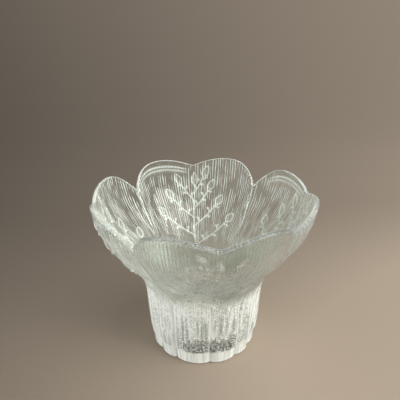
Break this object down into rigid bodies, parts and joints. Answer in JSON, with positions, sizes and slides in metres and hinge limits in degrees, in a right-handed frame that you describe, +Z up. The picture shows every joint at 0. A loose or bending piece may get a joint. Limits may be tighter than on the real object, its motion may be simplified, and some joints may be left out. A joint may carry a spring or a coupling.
{
  "type": "candle holder",
  "caption": "Clear pressed-glass candle holder shaped like an open flower, with heart-shaped petals, each with a leafy branch in relief, on a fluted foot that holds a removable tealight.",
  "frame": {"origin": "centre of the ring that the foot stands on, at table level", "axes": "+Z up along the holder's centre line; a petal points along each of +X, +Y, -X and -Y"},
  "size_m": [0.148, 0.148, 0.115],
  "materials": {
    "clear_glass": "clear, with a faint grey-green tint, and on the outer side ribs and a branch in relief",
    "aluminium_foil": "bright, thin drawn sheet",
    "paraffin_wax": "satin, slightly translucent white",
    "tinplate": "bright",
    "cotton_braid": "waxed cotton"
  },
  "bodies": {
    "holder": {"glass_holder": "clear_glass"},
    "tealight": {"tealight_cup": "aluminium_foil", "wax": "paraffin_wax", "wick_sustainer": "tinplate", "wick": "cotton_braid"}
  },
  "joints": [
    {"name": "tealight_lift", "type": "slide", "parent": "holder", "child": "tealight", "axis": [0, 0, 1], "range_m": [0, 0.12]}
  ]
}
